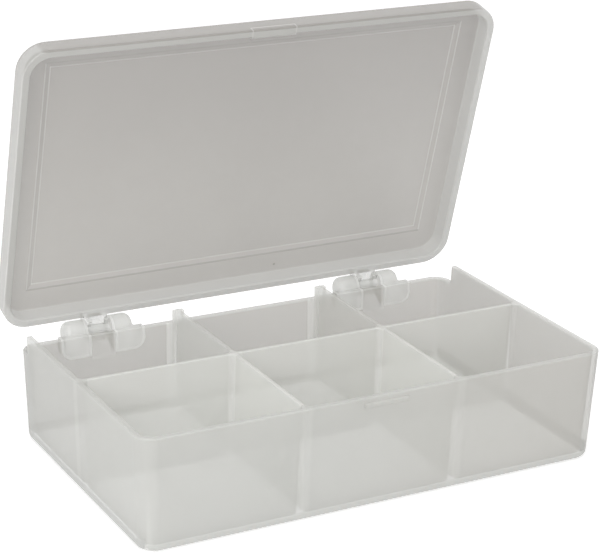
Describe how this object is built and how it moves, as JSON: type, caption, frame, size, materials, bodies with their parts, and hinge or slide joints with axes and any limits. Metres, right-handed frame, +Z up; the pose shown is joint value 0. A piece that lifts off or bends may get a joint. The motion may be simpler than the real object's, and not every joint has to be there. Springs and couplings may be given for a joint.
{
  "type": "compartment storage box",
  "caption": "Low rectangular box with a hinged snap lid and a tray divided into equal open compartments, for small parts, beads and craft pieces.",
  "frame": {"origin": "centre of the tray's flat underside, on the surface that the box stands on", "axes": "+X along the tray's length to the right, +Y to the hinge side, +Z up"},
  "size_m": [0.177, 0.1152, 0.1411],
  "materials": {
    "tray_polypropylene": "satin, frosted translucent natural polypropylene",
    "lid_polypropylene": "satin, frosted translucent natural polypropylene"
  },
  "bodies": {
    "base": {"base_tray": "tray_polypropylene"},
    "lid": {"lid": "lid_polypropylene"}
  },
  "joints": [
    {"name": "lid_hinge", "type": "hinge", "parent": "base", "child": "lid", "pos_m": [0, 0.0559, 0.032], "axis": [-1, 0, 0], "range_deg": [-75.2, 104.8]}
  ]
}
